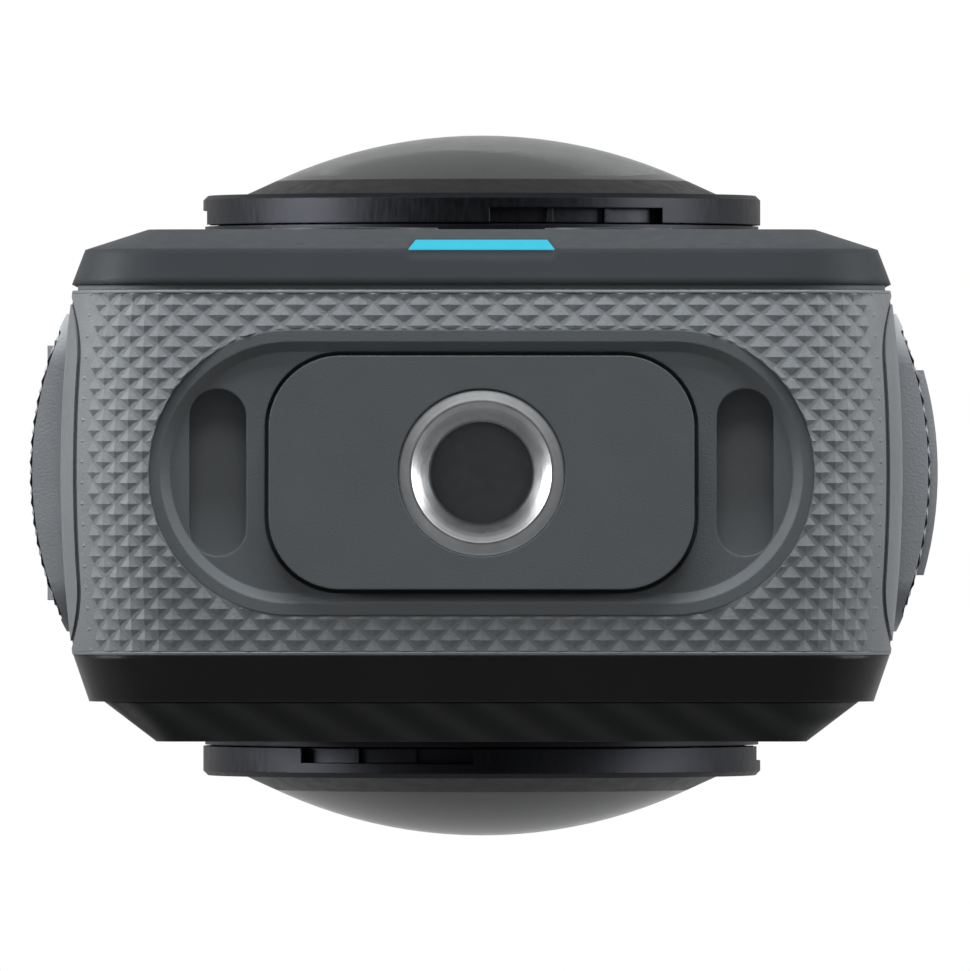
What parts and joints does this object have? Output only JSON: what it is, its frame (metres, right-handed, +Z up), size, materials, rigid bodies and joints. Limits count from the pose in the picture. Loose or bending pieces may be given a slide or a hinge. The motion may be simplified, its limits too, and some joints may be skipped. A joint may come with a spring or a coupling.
{
  "type": "360 degree camera",
  "caption": "Upright pocket panoramic camera with opposed domed lenses, screen, side doors and a threaded base.",
  "frame": {"origin": "middle of the base, on the plane that the camera stands on", "axes": "+Z up through the body, -Y out of the screen, +Y out of the ribbed front, +X out of the battery side, -X out of the USB side"},
  "size_m": [0.046, 0.0382, 0.1245],
  "materials": {
    "grip_rubber": "textured",
    "soft_seal": "matte",
    "rear_shell": "satin",
    "front_gloss": "gloss",
    "front_ribbed": "ribbed satin",
    "base_plastic": "satin",
    "base_metal": "satin",
    "insert_steel": "turned",
    "frame_alloy": "dark cast",
    "cover_glass": "clear coated",
    "element_glass": "coated",
    "ring_alloy": "anodised dark",
    "bezel_black": "satin",
    "barrel_black": "matte",
    "light_cyan": "translucent",
    "screen_black": "gloss",
    "display_dark": "gloss",
    "button_dark": "satin",
    "board_green": "solder mask",
    "part_black": "moulded",
    "bright_metal": "rolled",
    "copper": "rolled",
    "magnet": "plated",
    "sensor_face": "filter",
    "cell_wrap": "wrap",
    "card_black": "matte",
    "serrated_door": "serrated"
  },
  "bodies": {
    "housing": {"mid_frame": "frame_alloy", "grip_sleeve": "grip_rubber", "rear_cover": "rear_shell", "front_cover": "front_gloss", "front_panel": "front_ribbed", "base_pad": "base_plastic", "base_plate": "base_metal", "tripod_insert": "insert_steel", "mount_magnets": "magnet", "status_light_window": "light_cyan", "status_light_board": "board_green", "screen_glass": "screen_black", "display_module": "display_dark", "rear_switches": "part_black", "button_board": "board_green", "side_switches": "part_black", "side_board": "board_green", "usb_receptacle": "bright_metal", "usb_hinge_pin": "bright_metal", "battery_contacts": "part_black", "card_socket": "bright_metal", "main_board": "board_green", "processor_shield": "bright_metal", "heat_spreader": "copper", "speaker": "part_black", "speaker_mesh": "bright_metal", "microphones": "bright_metal", "mic_guards": "bright_metal", "antenna": "part_black", "cover_gaskets": "soft_seal", "housing_screws": "bright_metal", "front_lens_seat": "ring_alloy", "rear_lens_seat": "ring_alloy", "front_lens_barrel": "barrel_black", "rear_lens_barrel": "barrel_black", "front_inner_lens": "element_glass", "rear_inner_lens": "element_glass", "front_sensor_board": "board_green", "rear_sensor_board": "board_green", "image_sensors": "sensor_face"},
    "front_lens_unit": {"front_lens_ring": "ring_alloy", "front_lens_bezel": "bezel_black", "front_dome_glass": "cover_glass", "front_lens_seal": "soft_seal"},
    "rear_lens_unit": {"rear_lens_ring": "ring_alloy", "rear_lens_bezel": "bezel_black", "rear_dome_glass": "cover_glass", "rear_lens_seal": "soft_seal"},
    "shutter_key": {"shutter_button": "button_dark"},
    "lens_switch_key": {"lens_switch_button": "button_dark"},
    "power_key": {"power_button": "button_dark"},
    "quick_key": {"quick_button": "button_dark"},
    "usb_flap": {"usb_door": "serrated_door", "usb_door_seal": "soft_seal"},
    "battery": {"battery_panel": "serrated_door", "battery_seal": "soft_seal", "battery_cell": "cell_wrap", "latch_spring": "bright_metal"},
    "latch": {"battery_latch": "serrated_door"},
    "card": {"memory_card": "card_black"}
  },
  "joints": [
    {"name": "front_lens_twist", "type": "hinge", "parent": "housing", "child": "front_lens_unit", "pos_m": [0, 0, 0.1035], "axis": [0, 1, 0], "range_deg": [0, 30]},
    {"name": "rear_lens_twist", "type": "hinge", "parent": "housing", "child": "rear_lens_unit", "pos_m": [0, 0, 0.1035], "axis": [0, -1, 0], "range_deg": [0, 30]},
    {"name": "shutter_press", "type": "slide", "parent": "housing", "child": "shutter_key", "axis": [0, 1, 0], "range_m": [0, 0.0005], "stiffness_N_per_m": 800, "springref_m": -0.001},
    {"name": "lens_switch_press", "type": "slide", "parent": "housing", "child": "lens_switch_key", "axis": [0, 1, 0], "range_m": [0, 0.0005], "stiffness_N_per_m": 800, "springref_m": -0.001},
    {"name": "power_press", "type": "slide", "parent": "housing", "child": "power_key", "axis": [1, 0, 0], "range_m": [0, 0.0005], "stiffness_N_per_m": 800, "springref_m": -0.001},
    {"name": "quick_press", "type": "slide", "parent": "housing", "child": "quick_key", "axis": [1, 0, 0], "range_m": [0, 0.0005], "stiffness_N_per_m": 800, "springref_m": -0.001},
    {"name": "usb_door_hinge", "type": "hinge", "parent": "housing", "child": "usb_flap", "pos_m": [-0.02135, -0.00065, 0.033], "axis": [0, 1, 0], "range_deg": [0, 100]},
    {"name": "battery_slide", "type": "slide", "parent": "housing", "child": "battery", "axis": [1, 0, 0], "range_m": [0, 0.034]},
    {"name": "latch_slide", "type": "slide", "parent": "battery", "child": "latch", "axis": [0, 0, 1], "range_m": [0, 0.003], "stiffness_N_per_m": 150, "springref_m": -0.003, "deforming": ["latch_spring"]},
    {"name": "card_push", "type": "slide", "parent": "housing", "child": "card", "axis": [-1, 0, 0], "range_m": [-0.0017, 0.0008]}
  ]
}
